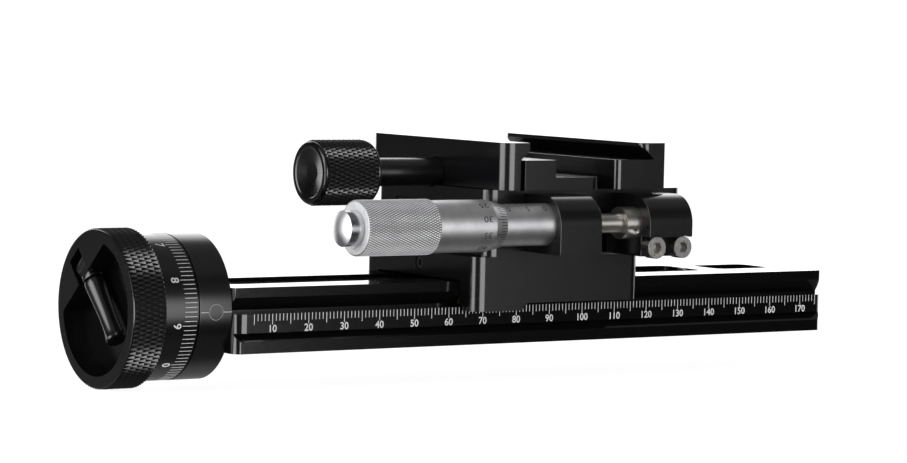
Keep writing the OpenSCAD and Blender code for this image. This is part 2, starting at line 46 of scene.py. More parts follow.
screwZ = 10.0       # height of the lead screw's axis, in mm


def atReading(reading):
    # place along the rail, from a reading of its scale
    return (reading - railMiddle) * mm


# ---- camera ----

camera = {
    "place": (-0.51682, -0.74206, 0.08439),
    "yaw": 34.061,      # from +Y towards +X
    "pitch": 3.705,     # down
    "roll": 1.285,
    "lens": 142.857,
}


def placeCamera(c):
    yaw, pitch, roll = (math.radians(c[k]) for k in ("yaw", "pitch", "roll"))
    ahead = Vector((math.sin(yaw) * math.cos(pitch), math.cos(yaw) * math.cos(pitch), -math.sin(pitch)))
    right = Vector((math.cos(yaw), -math.sin(yaw), 0))
    up = right.cross(ahead)
    c1, s1 = math.cos(roll), math.sin(roll)
    right, up = c1 * right + s1 * up, -s1 * right + c1 * up
    data = bpy.data.cameras.new("viewpoint")
    data.sensor_fit = "HORIZONTAL"
    data.sensor_width = 36
    data.lens = c["lens"]
    data.clip_start = 0.05
    data.clip_end = 30
    eye = bpy.data.objects.new("viewpoint", data)
    bpy.context.scene.collection.objects.link(eye)
    turn = Matrix((right, up, -ahead)).transposed().to_4x4()
    eye.matrix_world = Matrix.Translation(Vector(c["place"])) @ turn
    bpy.context.scene.camera = eye


placeCamera(camera)
print("camera placed")

# ---- studio ----

studio = {
    "floorZ": -9.2 * mm,
    "floorSize": 8.0,
    "floorGrey": 0.25,
    "floorGlow": 0.95,
    "front": 0.21,       # all round in front and overhead
    "low": 0.12,         # below the horizon, as polished parts see it
    "lowBehind": 0.40,
    "backdrop": 1.2,
}

panels = {
    # name: (side, turn from, turn to, softness, height from, height to, softness, radiance), in degrees;
    # turns go from -Y towards -X in front and from +Y towards +X behind, and a card's minus takes light off
    "frontPanel": ("front", -28.2, 17, 2.2, -7, 8, 15, 5.2),
    "leftPanel": ("front", 68, 113, 5, -25, 40, 6, 5.2),
    "backWall": ("behind", -8, 92, 6, -2, 28, 22, 2.8),
    "darkCard": ("front", 126, 165, 5, -30, 60, 8, -0.235),
    "rightCard": ("front", -90, -35, 3, -30, 40, 8, -0.12),
}


def studioLight():
    world = bpy.data.worlds.new("studio")
    bpy.context.scene.world = world
    world.use_nodes = True
    tree = world.node_tree
    tree.nodes.clear()
    add = tree.nodes.new
    where = add("ShaderNodeTexCoord")
    split = add("ShaderNodeSeparateXYZ")
    tree.links.new(where.outputs["Generated"], split.inputs[0])
    x, y, z = (split.outputs[k] for k in "XYZ")

    def join(kind, a, b=None):
        node = add("ShaderNodeMath")
        node.operation = kind
        for socket, value in zip(node.inputs, (a, b)):
            if isinstance(value, (int, float)):
                socket.default_value = value
            elif value is not None:
                tree.links.new(value, socket)
        return node.outputs[0]

    def ramp(value, a, b, lo, hi):
        node = add("ShaderNodeMapRange")
        node.interpolation_type = "SMOOTHSTEP"
        tree.links.new(value, node.inputs["Value"])
        for key, number in (("From Min", a), ("From Max", b), ("To Min", lo), ("To Max", hi)):
            node.inputs[key].default_value = number
        return node.outputs["Result"]

    turns = {
        "front": join("ARCTAN2", join("MULTIPLY", x, -1.0), join("MULTIPLY", y, -1.0)),
        "behind": join("ARCTAN2", x, y),
    }
    height = join("ARCSINE", z)

    def between(value, low, high, soft):
        low, high, soft = (math.radians(v) for v in (low, high, soft))
        return join("MULTIPLY", ramp(value, low - soft, low, 0, 1), ramp(value, high, high + soft, 1, 0))

    behind = ramp(y, -0.1, 0.3, studio["low"], studio["lowBehind"])
    above = ramp(z, -0.10, 0.02, 0.0, 1.0)
    below = join("MULTIPLY", behind, join("SUBTRACT", 1.0, above))
    tone = join("ADD", join("MULTIPLY", above, studio["front"]), below)
    for side, a, b, soft, low, high, fade, radiance in panels.values():
        shape = join("MULTIPLY", between(turns[side], a, b, soft), between(height, low, high, fade))
        lit = join("MULTIPLY", shape, radiance)
        tone = join("MAXIMUM", tone, lit) if radiance > 0 else join("ADD", tone, lit)
    seen = add("ShaderNodeLightPath")
    glow = add("ShaderNodeBackground")
    tree.links.new(join("MAXIMUM", tone, 0.02), glow.inputs["Strength"])
    plain = add("ShaderNodeBackground")  # what the camera itself sees behind the object
    plain.inputs["Color"].default_value = (1, 1, 1, 1)
    plain.inputs["Strength"].default_value = studio["backdrop"]
    choose = add("ShaderNodeMixShader")
    tree.links.new(seen.outputs["Is Camera Ray"], choose.inputs[0])
    tree.links.new(glow.outputs[0], choose.inputs[1])
    tree.links.new(plain.outputs[0], choose.inputs[2])
    out = add("ShaderNodeOutputWorld")
    tree.links.new(choose.outputs[0], out.inputs[0])


def layFloor():
    bm = bmesh.new()
    bmesh.ops.create_grid(bm, x_segments=2, y_segments=2, size=studio["floorSize"] / 2)
    bmesh.ops.translate(bm, verts=bm.verts, vec=(0, 0, studio["floorZ"]))
    mesh = bpy.data.meshes.new("floor")
    bm.to_mesh(mesh)
    bm.free()
    floor = bpy.data.objects.new("floor", mesh)
    bpy.context.scene.collection.objects.link(floor)
    paper = bpy.data.materials.new("paleFloor")
    paper.use_nodes = True
    shader = paper.node_tree.nodes["Principled BSDF"]
    g = studio["floorGrey"]
    shader.inputs["Base Color"].default_value = (g, g, g, 1)
    shader.inputs["Roughness"].default_value = 0.9
    shader.inputs["Specular IOR Level"].default_value = 0.0
    shader.inputs["Emission Color"].default_value = (1, 1, 1, 1)
    shader.inputs["Emission Strength"].default_value = studio["floorGlow"]
    mesh.materials.append(paper)
    floor.visible_glossy = False


bpy.context.scene.view_settings.view_transform = "Standard"
studioLight()
layFloor()
print("studio ready")

# ---- finishes ----

finishes = {
    "blackAnodised": {"colour": (0.0024, 0.0024, 0.0030), "metal": 0.0, "rough": 0.19, "spread": 0.02,
                      "grain": 9000, "relief": 0.002, "ior": 1.68},
    "railBlack": {"colour": (0.0026, 0.0025, 0.0028), "metal": 0.0, "rough": 0.09, "spread": 0.02,
                  "grain": 9000, "relief": 0.01, "ior": 1.68},
    "turnedBlack": {"colour": (0.0020, 0.0020, 0.0024), "metal": 0.0, "rough": 0.20, "spread": 0.03,
                    "grain": 9000, "relief": 0.02, "ior": 1.68, "rings": 5200},
    "knurledBlack": {"colour": (0.004, 0.004, 0.0045), "metal": 0.0, "rough": 0.20, "spread": 0.04,
                     "grain": 14000, "relief": 0.02, "ior": 1.68},
    "glossBlack": {"colour": (0.004, 0.004, 0.0045), "metal": 0.0, "rough": 0.25, "spread": 0.03,
                   "grain": 3000, "relief": 0.004, "ior": 1.68},
    "satinChrome": {"colour": (0.62, 0.62, 0.625), "metal": 1.0, "rough": 0.45, "spread": 0.03,
                    "grain": 16000, "relief": 0.01, "ior": 1.5, "rings": 9000},
    "frostedChrome": {"colour": (0.95, 0.95, 0.955), "metal": 0.45, "rough": 0.38, "spread": 0.05,
                      "grain": 16000, "relief": 0.02, "ior": 1.5},
    # a darker copy of the knurl's chrome for its flanks: painted shade in the grooves
    "paintedShadeChrome": {"colour": (0.20, 0.20, 0.205), "metal": 0.8, "rough": 0.4, "spread": 0.04,
                     "grain": 16000, "relief": 0.02, "ior": 1.5},
    "neckChrome": {"colour": (0.50, 0.505, 0.52), "metal": 1.0, "rough": 0.20, "spread": 0.02,
                   "grain": 9000, "relief": 0.005, "ior": 1.5},
    "blastedChrome": {"colour": (0.90, 0.90, 0.91), "metal": 1.0, "rough": 0.66, "spread": 0.04,
                      "grain": 16000, "relief": 0.02, "ior": 1.5},
    "polishedChrome": {"colour": (0.74, 0.745, 0.76), "metal": 1.0, "rough": 0.42, "spread": 0.02,
                       "grain": 6000, "relief": 0.005, "ior": 1.5},
    "turnedSteel": {"colour": (0.68, 0.65, 0.60), "metal": 1.0, "rough": 0.30, "spread": 0.05,
                    "grain": 12000, "relief": 0.02, "ior": 1.5, "rings": 7000},
    "screwSteel": {"colour": (0.54, 0.52, 0.495), "metal": 1.0, "rough": 0.24, "spread": 0.05,
                   "grain": 9000, "relief": 0.006, "ior": 1.5},
    "darkSteel": {"colour": (0.030, 0.030, 0.032), "metal": 0.3, "rough": 0.28, "spread": 0.06,
                  "grain": 9000, "relief": 0.03, "ior": 1.5},
    "bronze": {"colour": (0.34, 0.22, 0.12), "metal": 1.0, "rough": 0.34, "spread": 0.10,
               "grain": 7000, "relief": 0.05, "ior": 1.5},
    "whitePaint": {"colour": (0.62, 0.62, 0.62), "metal": 0.0, "rough": 0.55, "spread": 0.05,
                   "grain": 20000, "relief": 0.03, "ior": 1.45},
    "darkPaint": {"colour": (0.02, 0.02, 0.024), "metal": 0.0, "rough": 0.6, "spread": 0.05,
                  "grain": 20000, "relief": 0.03, "ior": 1.45},
}


def finish(name, f):
    # colour and gloss broken up by two sizes of grain, with turning lines on lathe work
    material = bpy.data.materials.new(name)
    material.use_nodes = True
    tree = material.node_tree
    shader = tree.nodes["Principled BSDF"]
    shader.inputs["Metallic"].default_value = f["metal"]
    shader.inputs["IOR"].default_value = f["ior"]
    where = tree.nodes.new("ShaderNodeTexCoord")

    def noise(scale, detail, stretch=(1, 1, 1)):
        lay = tree.nodes.new("ShaderNodeMapping")
        lay.inputs["Scale"].default_value = stretch
        tree.links.new(where.outputs["Object"], lay.inputs["Vector"])
        node = tree.nodes.new("ShaderNodeTexNoise")
        node.inputs["Scale"].default_value = scale
        node.inputs["Detail"].default_value = detail
        tree.links.new(lay.outputs[0], node.inputs["Vector"])
        return node.outputs["Fac"]

    def between(value, low, high):
        node = tree.nodes.new("ShaderNodeMapRange")
        node.inputs["From Min"].default_value = 0.25
        node.inputs["From Max"].default_value = 0.75
        node.inputs["To Min"].default_value = low
        node.inputs["To Max"].default_value = high
        tree.links.new(value, node.inputs["Value"])
        return node.outputs["Result"]

    cloud = noise(260, 3)
    wear = noise(900, 4)
    grain = noise(f["grain"], 2)
    tint = tree.nodes.new("ShaderNodeMix")
    tint.data_type = "RGBA"
    c = f["colour"]
    tint.inputs["A"].default_value = (c[0] * 0.86, c[1] * 0.86, c[2] * 0.88, 1)
    tint.inputs["B"].default_value = (min(c[0] * 1.12, 1), min(c[1] * 1.12, 1), min(c[2] * 1.12, 1), 1)
    tree.links.new(between(cloud, 0.0, 1.0), tint.inputs["Factor"])
    tree.links.new(tint.outputs["Result"], shader.inputs["Base Color"])
    half = f["spread"] / 2
    tree.links.new(between(wear, f["rough"] - half, f["rough"] + half), shader.inputs["Roughness"])
    bump = tree.nodes.new("ShaderNodeBump")
    bump.inputs["Strength"].default_value = f["relief"]
    bump.inputs["Distance"].default_value = 0.00004
    height = grain
    if "rings" in f:
        lines = noise(f["rings"], 1, (1, 0.004, 0.004))
        both = tree.nodes.new("ShaderNodeMath")
        both.operation = "MULTIPLY_ADD"
        both.inputs[1].default_value = 1.6
        tree.links.new(lines, both.inputs[0])
        tree.links.new(grain, both.inputs[2])
        height = both.outputs[0]
    tree.links.new(height, bump.inputs["Height"])
    tree.links.new(bump.outputs["Normal"], shader.inputs["Normal"])
    return material


paint = {name: finish(name, f) for name, f in finishes.items()}
print("finishes mixed")

# ---- making pieces ----


def smoothUnder(bm, degrees):
    limit = math.radians(degrees)
    for face in bm.faces:
        face.smooth = True
    for edge in bm.edges:
        edge.smooth = len(edge.link_faces) == 2 and edge.calc_face_angle(0) < limit


def keepPiece(name, bm, finishName, body, stands=(), angle=32):
    bmesh.ops.recalc_face_normals(bm, faces=bm.faces)
    smoothUnder(bm, angle)
    mesh = bpy.data.meshes.new(name)
    bm.to_mesh(mesh)
    bm.free()
    mesh.materials.append(paint[finishName])
    piece = bpy.data.objects.new(name, mesh)
    bpy.context.scene.collection.objects.link(piece)
    even = piece.modifiers.new("evenNormals", "WEIGHTED_NORMAL")
    even.keep_sharp = True
    even.weight = 80
    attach(piece, body)
    if stands:
        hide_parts(*stands)
    return piece


def bodyOf(node):
    for body, members in frame["record"]["behaviour"]["bodies"].items():
        if node in members:
            return body


def copyOf(node):
    # a node's solid with its triangles joined into whole faces
    bm = bmesh.new()
    bm.from_mesh(nodes[node].data)
    bmesh.ops.remove_doubles(bm, verts=bm.verts, dist=2e-6)
    bmesh.ops.dissolve_degenerate(bm, edges=bm.edges, dist=1e-6)
    bmesh.ops.dissolve_limit(bm, angle_limit=math.radians(0.6), verts=bm.verts, edges=bm.edges)
    return bm


def breakEdges(bm, width, segments=2, degrees=30, pick=None):
    limit = math.radians(degrees)
    sharp = [e for e in bm.edges if len(e.link_faces) == 2 and e.calc_face_angle(0) > limit
             and (pick is None or pick(e))]
    bmesh.ops.bevel(bm, geom=sharp, affect="EDGES", offset=width, offset_type="OFFSET",
                    segments=segments, profile=0.5, material=-1, clamp_overlap=True)


def eased(node, finishName, width=0.15, segments=2):
    # the node's own shape with its edges broken, as a machined part has them
    bm = copyOf(node)
    breakEdges(bm, width * mm, segments)
    return keepPiece(node + "Finished", bm, finishName, bodyOf(node), (node,))


def lathe(profile, axisY, axisZ, steps=96, ease=0.0, bm=None):
    # a closed outline of (reading, radius) points turned round an axis along the rail
    own = bmesh.new()
    onAxis = axisZ * mm + 1e-6
    own.faces.new([own.verts.new((atReading(x), axisY * mm, axisZ * mm + r * mm)) for x, r in profile])
    if ease:
        bmesh.ops.bevel(own, geom=[v for v in own.verts if v.co.z > onAxis], affect="VERTICES",
                        offset=ease * mm, offset_type="OFFSET", segments=2, profile=0.5, material=-1)
    bmesh.ops.delete(own, geom=list(own.faces), context="FACES_ONLY")
    along = [e for e in own.edges if max(v.co.z for v in e.verts) <= onAxis]
    bmesh.ops.delete(own, geom=along, context="EDGES")
    bmesh.ops.spin(own, geom=list(own.verts) + list(own.edges), cent=(0, axisY * mm, axisZ * mm),
                   axis=(1, 0, 0), angle=2 * math.pi, steps=steps, use_merge=True)
    bmesh.ops.remove_doubles(own, verts=own.verts, dist=2e-6)
    bmesh.ops.dissolve_degenerate(own, edges=own.edges, dist=1e-7)
    bmesh.ops.recalc_face_normals(own, faces=own.faces)
    return own if bm is None else merge(bm, own)


def merge(bm, other):
    mesh = bpy.data.meshes.new("part")
    other.to_mesh(mesh)
    other.free()
    bm.from_mesh(mesh)
    bpy.data.meshes.remove(mesh)
    return bm


boreUnder = 0.35  # from a knurl's grooves down to its bore, in mm


def knurl(k):
    # a grid's cells turned into diamonds, wrapped round an axis and each drawn up to a point; the band
    # is trimmed at both ends and closes with a plain bore underneath
    bm = bmesh.new()
    bmesh.ops.create_grid(bm, x_segments=k["around"], y_segments=k["rows"], size=1.0)
    bmesh.ops.poke(bm, faces=bm.faces)
    root = (k["crest"] - k["depth"]) * mm
    x0 = atReading(k["start"])
    long = k["rows"] * k["pitch"] * mm
    for v in bm.verts:
        turn = (v.co.x + 1) * math.pi
        v.co = Vector((x0 + long * (v.co.y + 1) / 2, k["axisY"] * mm + root * math.sin(turn),
                       k["axisZ"] * mm + root * math.cos(turn)))
    bmesh.ops.remove_doubles(bm, verts=bm.verts, dist=1e-6)
    middles = {v for v in bm.verts if len(v.link_edges) == 4 and len(v.link_faces) == 4}
    cells = [e for e in bm.edges if len(e.link_faces) == 2 and not any(v in middles for v in e.verts)]
    bmesh.ops.dissolve_edges(bm, edges=cells, use_verts=False)
    diamonds = [f for f in bm.faces if len(f.verts) == 4]
    bmesh.ops.recalc_face_normals(bm, faces=bm.faces)
    centre = Vector((0, k["axisY"] * mm, k["axisZ"] * mm))
    out = diamonds[0].calc_center_median() - centre
    out.x = 0
    if diamonds[0].normal.dot(out) < 0:
        bmesh.ops.reverse_faces(bm, faces=bm.faces)
    point = k["depth"]
    if "blunt" in k:  # steep flanks, in the second finish, under a low point; that finish is a darker copy of the chrome, painted shade in the grooves
        flanks = bmesh.ops.inset_individual(bm, faces=diamonds, thickness=k["blunt"] * mm,
                                            depth=0.7 * point * mm, use_even_offset=True)
        for face in flanks["faces"]:
            face.material_index = 1
        point *= 0.3
    bmesh.ops.poke(bm, faces=diamonds, offset=point * mm)
    for x, side in ((k["from"], -1), (k["to"], 1)):
        bmesh.ops.bisect_plane(bm, geom=list(bm.verts) + list(bm.edges) + list(bm.faces), dist=1e-7,
                               plane_co=(atReading(x), 0, 0), plane_no=(side, 0, 0), clear_outer=True)
    rims = [e for e in bm.edges if len(e.link_faces) == 1]
    walls = bmesh.ops.extrude_edge_only(bm, edges=rims)
    for v in [g for g in walls["geom"] if isinstance(g, bmesh.types.BMVert)]:
        spoke = v.co - centre
        spoke.x = 0
        v.co += spoke.normalized() * (root - boreUnder * mm - spoke.length)
    loops = [g for g in walls["geom"] if isinstance(g, bmesh.types.BMEdge) and len(g.link_faces) == 1]
    bmesh.ops.bridge_loops(bm, edges=loops)
    return bm


def stripeOnRound(bm, x0, x1, angle, radius, wide, axisY, axisZ, proud=0.012, sunk=0.06):
    # a straight mark along the axis on a round surface; angle counts up from the front
    a = math.radians(angle)
    r = radius + (proud - sunk) / 2
    turn = Matrix.Rotation(-a, 4, "X")
    place = Matrix.Translation(((atReading(x0) + atReading(x1)) / 2, axisY * mm, axisZ * mm)) @ turn
    size = Matrix.Diagonal(((x1 - x0) * mm, (proud + sunk) * mm, wide * mm, 1))
    bmesh.ops.create_cube(bm, size=1.0, matrix=place @ Matrix.Translation((0, -r * mm, 0)) @ size)


def lettering(text, tall, heavy=0.0, thick=0.03, width=1.0):
    # a number as a thin solid, centred, lying in XY; all in mm
    curve = bpy.data.curves.new("number", "FONT")
    curve.body = text
    curve.size = tall / 0.72  # a digit's share of the font's size
    curve.align_x = "CENTER"
    curve.align_y = "CENTER"
    curve.extrude = thick / 2
    curve.offset = heavy
    curve.resolution_u = 3
    holder = bpy.data.objects.new("number", curve)
    bpy.context.scene.collection.objects.link(holder)
    mesh = bpy.data.meshes.new_from_object(holder.evaluated_get(bpy.context.evaluated_depsgraph_get()))
    bpy.data.objects.remove(holder)
    bpy.data.curves.remove(curve)
    bm = bmesh.new()
    bm.from_mesh(mesh)
    bpy.data.meshes.remove(mesh)
    bmesh.ops.remove_doubles(bm, verts=bm.verts, dist=1e-4)
    low = min(v.co.y for v in bm.verts)
    high = max(v.co.y for v in bm.verts)
    for v in bm.verts:
        v.co.y -= (low + high) / 2
        v.co.x *= width
    return bm


def onRound(bm, x, angle, radius, axisY, axisZ, turned):
    # wraps a number onto a round surface; turned is the angle of its own reading direction
    spin = Matrix.Rotation(math.radians(turned), 3, "Z")
    for v in bm.verts:
        flat = spin @ v.co
        a = math.radians(angle) + flat.y / radius
        r = (radius + flat.z) * mm
        v.co = Vector((atReading(x) + flat.x * mm, axisY * mm - r * math.cos(a),
                       axisZ * mm + r * math.sin(a)))
    return bm


print("workshop ready")

# ---- rail and its scale ----

railScale = {
    "first": 5, "last": 175, "top": 9.38, "short": 1.65, "long": 2.5, "wide": 0.17,
    "faceY": -19.3, "digits": 1.75, "heavy": 0.035, "digitZ": 5.92, "proud": 0.012,
}


def makeRailScale(s):
    bm = bmesh.new()
    y = s["faceY"] * mm
    for reading in range(s["first"], s["last"] + 1):
        long = s["long"] if reading % 5 == 0 else s["short"]
        place = Matrix.Translation((atReading(reading), y + 0.02 * mm, (s["top"] - long / 2) * mm))
        shape = Matrix.Diagonal((s["wide"] * mm, (0.04 + 2 * s["proud"]) * mm, long * mm, 1))
        bmesh.ops.create_cube(bm, size=1.0, matrix=place @ shape)
    for reading in range(10, s["last"], 10):
        number = lettering(str(reading), s["digits"], s["heavy"], 0.05)
        for v in number.verts:
            v.co = Vector((atReading(reading) + v.co.x * mm, y - (v.co.z - 0.01) * mm,
                           s["digitZ"] * mm + v.co.y * mm))
        merge(bm, number)
    keepPiece("railScaleMarks", bm, "whitePaint", "rail")


eased("rail", "railBlack", 0.12)
makeRailScale(railScale)
print("rail done")

# ---- coarse drive ----

drive = {
    "axisZ": screwZ, "dialR": 17.4, "collarR": 17.45, "dialRight": -8.9, "collarLeft": -8.6,
    "divisions": 100, "short": 3.25, "long": 3.8, "gap": 0.38, "wide": 0.14, "zeroAngle": -46.0,
    "digits": 2.1, "digitX": -14.45, "heavy": 0.03,
}

indexLine = {
    "wide": 0.14, "to": -0.1, "ringFrom": -6.3, "ringTo": -2.3, "ringX": -4.3, "ringR": 1.9, "innerR": 1.78,
    "sides": 48, "proud": 0.022,
}

knob = {
    "from": -26.92, "to": -18.12, "radius": 19.0,
    "knurl": {"around": 104, "rows": 4, "pitch": 3.28, "start": -28.28, "from": -26.5, "to": -18.3,
              "crest": 19.0, "depth": 0.44, "axisY": 0, "axisZ": screwZ},
    "ground": 0.55, "rimDrop": 0.35, "rimEase": 0.30, "cupEase": 0.22,
}


def makeDialMarks(d):
    bm = bmesh.new()
    right = d["dialRight"] - d["gap"]
    for i in range(d["divisions"]):
        long = d["long"] if i % 10 == 0 else d["short"]
        angle = d["zeroAngle"] - i * 360 / d["divisions"]
        stripeOnRound(bm, right - long, right, angle, d["dialR"], d["wide"], 0, d["axisZ"])
    for i in range(10):
        number = lettering(str(i), d["digits"], d["heavy"])
        merge(bm, onRound(number, d["digitX"], d["zeroAngle"] - i * 36, d["dialR"], 0, d["axisZ"], -90))
    keepPiece("dialMarks", bm, "whitePaint", "drive")


def makeIndexLine(d, n):
    bm = bmesh.new()
    for a, b in ((d["collarLeft"] + 0.2, n["ringFrom"]), (n["ringTo"], n["to"])):
        stripeOnRound(bm, a, b, 0, d["collarR"], n["wide"], 0, d["axisZ"])
    ring = bmesh.new()
    bmesh.ops.create_circle(ring, segments=n["sides"], radius=n["ringR"], cap_ends=False)
    bmesh.ops.extrude_edge_only(ring, edges=ring.edges)
    for v in list(ring.verts)[n["sides"]:]:
        v.co *= n["innerR"] / n["ringR"]
    bmesh.ops.solidify(ring, geom=ring.faces, thickness=0.05)
    middle = sum(v.co.z for v in ring.verts) / len(ring.verts)
    for v in ring.verts:
        v.co.z += n["proud"] - middle
    merge(bm, onRound(ring, n["ringX"], 0, d["collarR"], 0, d["axisZ"], 0))
    keepPiece("indexMark", bm, "whitePaint", "rail")


def makeKnob(k):
    bm = copyOf("hand_knob")
    axisZ = screwZ * mm
    big = k["radius"] * mm
    near = 0.02 * mm

    def radial(v):
        return math.hypot(v.co.y, v.co.z - axisZ)

    for v in bm.verts:  # the knurled band stands on a lower ground
        if radial(v) > big - 0.1 * mm:
            s = (big - k["ground"] * mm) / radial(v)
            v.co.y, v.co.z = v.co.y * s, axisZ + (v.co.z - axisZ) * s
    rim = big - k["rimDrop"] * mm
    ends = (atReading(k["from"]), atReading(k["to"]))
    breakEdges(bm, k["rimEase"] * mm, 2, 40, pick=lambda e: all(
        abs(radial(v) - rim) < near and min(abs(v.co.x - x) for x in ends) < near for v in e.verts))
    breakEdges(bm, k["cupEase"] * mm, 2, 40, pick=lambda e: all(
        radial(v) < big - 1.5 * mm for v in e.verts))
    keepPiece("handKnob", bm, "turnedBlack", "drive", ("hand_knob",))
    keepPiece("handKnobKnurl", knurl(k["knurl"]), "knurledBlack", "drive", angle=12)


crank = {
    "angle": 42, "axisX": -24.32, "gripTop": 7.8, "gripLong": 17.0, "gripR": 2.62, "waist": 0.5, "endR": 2.35,
    "topR": 2.5, "boreR": 1.16, "cap": 1.2, "lip": 0.45, "steps": 64,
}


def alongCrank(profile, c):
    # a closed outline of (distance from the screw, radius) turned round the crank's own axis
    bm = lathe([(railMiddle + u, r) for u, r in profile], 0, 0, c["steps"])
    lay = Matrix.Translation((atReading(c["axisX"]), 0, screwZ * mm)) \
        @ Matrix.Rotation(-math.radians(c["angle"]), 4, "X") @ Matrix.Rotation(-math.pi / 2, 4, "Y")
    bmesh.ops.transform(bm, matrix=lay, verts=bm.verts)
    return bm


def makeCrank(c):
    top = c["gripTop"]
    foot = top - c["gripLong"]
    outline = [(foot, 0), (foot, c["endR"])]
    for t in [i / 20 for i in range(21)]:  # thinnest nearer to the free end
        outline.append((foot + c["lip"] + t * (c["gripLong"] - 2 * c["lip"]),
                        c["gripR"] - c["waist"] * math.sin(math.pi * t ** 0.6)))
    inside = foot + c["cap"]
    outline += [(top, c["topR"]), (top, c["boreR"]), (inside, c["boreR"]), (inside, 0)]
    keepPiece("crankGrip", alongCrank(outline, c), "glossBlack", "grip", ("crank_grip",))
    bm = copyOf("crank_arm")
    breakEdges(bm, 0.18 * mm, 2)
    keepPiece("crankFoot", bm, "glossBlack", "crank", ("crank_arm",))


eased("drive_collar", "turnedBlack", 0.12)
eased("dial", "turnedBlack", 0.12)
makeDialMarks(drive)
makeIndexLine(drive, indexLine)
makeKnob(knob)
makeCrank(crank)

leadScrew = {
    "pitch": 1.0, "from": 5.4, "to": 145.2, "crest": 3.65, "root": 3.1, "steps": 20,
    "nearEnd": [(-16.52, 0), (-16.52, 4), (5.3, 4), (5.6, 3.7), (5.6, 0)],
    "farEnd": [(144.6, 0), (144.6, 3.1), (145.6, 3.1), (145.6, 2.5), (162.2, 2.5), (162.5, 2.2), (162.5, 0)],
}


def makeLeadScrew(s):
    turns = int(s["to"] - s["from"])
    bm = bmesh.new()
    p = s["pitch"]
    shape = [(0, s["root"]), (0.18, s["root"]), (0.42, s["crest"]), (0.76, s["crest"]), (1, s["root"])]
    last = None
    for share, r in shape:
        v = bm.verts.new((atReading(s["from"] + share * p), 0, (screwZ + r) * mm))
        if last:
            bm.edges.new((last, v))
        last = v
    bmesh.ops.spin(bm, geom=list(bm.verts) + list(bm.edges), cent=(0, 0, screwZ * mm), axis=(1, 0, 0),
                   dvec=(p * mm / s["steps"], 0, 0), angle=2 * math.pi * turns, steps=s["steps"] * turns)
    bmesh.ops.remove_doubles(bm, verts=bm.verts, dist=4e-6)
    ends = [e for e in bm.edges if len(e.link_faces) == 1]
    bmesh.ops.holes_fill(bm, edges=ends, sides=0)
    for journal in (s["nearEnd"], s["farEnd"]):
        lathe(journal, 0, screwZ, bm=bm)
    keepPiece("leadScrewThread", bm, "turnedSteel", "drive", ("lead_screw",))


makeLeadScrew(leadScrew)
print("coarse drive done")

# ---- carriage and fine stage ----

for name in ("carriage", "stage_base", "stage_slide"):
    eased(name, "blackAnodised", 0.14)
for name in ("micrometer_bracket", "drive_bracket"):
    eased(name, "blackAnodised", 0.5, 3)
eased("drive_nut", "bronze", 0.2)
eased("end_bush", "darkSteel", 0.15)
eased("carriage_gibs", "bronze", 0.08)
eased("stage_gib", "darkSteel", 0.08)
eased("end_nut", "screwSteel", 0.2)
eased("screw_bearings", "screwSteel", 0.15)
eased("drive_bracket_screws", "screwSteel", 0.2, 3)
for name in ("collar_screws", "base_screws", "nut_screws", "bracket_screws", "clamp_base_screws",
             "fixed_jaw_screws"):
    eased(name, "darkSteel", 0.2)
for name in ("gib_screws", "stage_gib_screws", "knob_set_screws", "carriage_set_screw"):
    eased(name, "darkSteel", 0.12)
eased("crank_pin", "screwSteel", 0.15)
eased("jaw_guide_pins", "screwSteel", 0.15)
print("carriage done")

# ---- micrometer ----

micrometer = {
    "axisY": -33.5, "axisZ": 30.25, "left": 23.4, "right": 63.2, "bevel": 3.6, "bevelR": 5.5,
    "smoothR": 6.3, "gripR": 6.65, "gripLong": 20.3, "cavity": 35.4, "cavityR": 5.2, "boreR": 2.0,
    "sleeveFrom": 48.8, "sleeveTo": 90.0, "sleeveR": 5.1, "spindleR": 2.45,
    "capLong": 4.75, "capR": 4.3, "domeR": 4.0, "domeRise": 1.0,
}

thimbleMarks = {"divisions": 50, "at30": 18.0, "wide": 0.2, "short": 2.0, "long": 3.2, "digits": 1.55,
                "digitX": 57.2, "heavy": 0.015, "stretch": 1.25}
sleeveMarks = {"zero": 76.1, "upTo": 25, "lineAngle": 92.0, "wide": 0.12, "short": 1.3, "long": 1.9,
               "digits": 1.6, "digitAngle": 53.0}


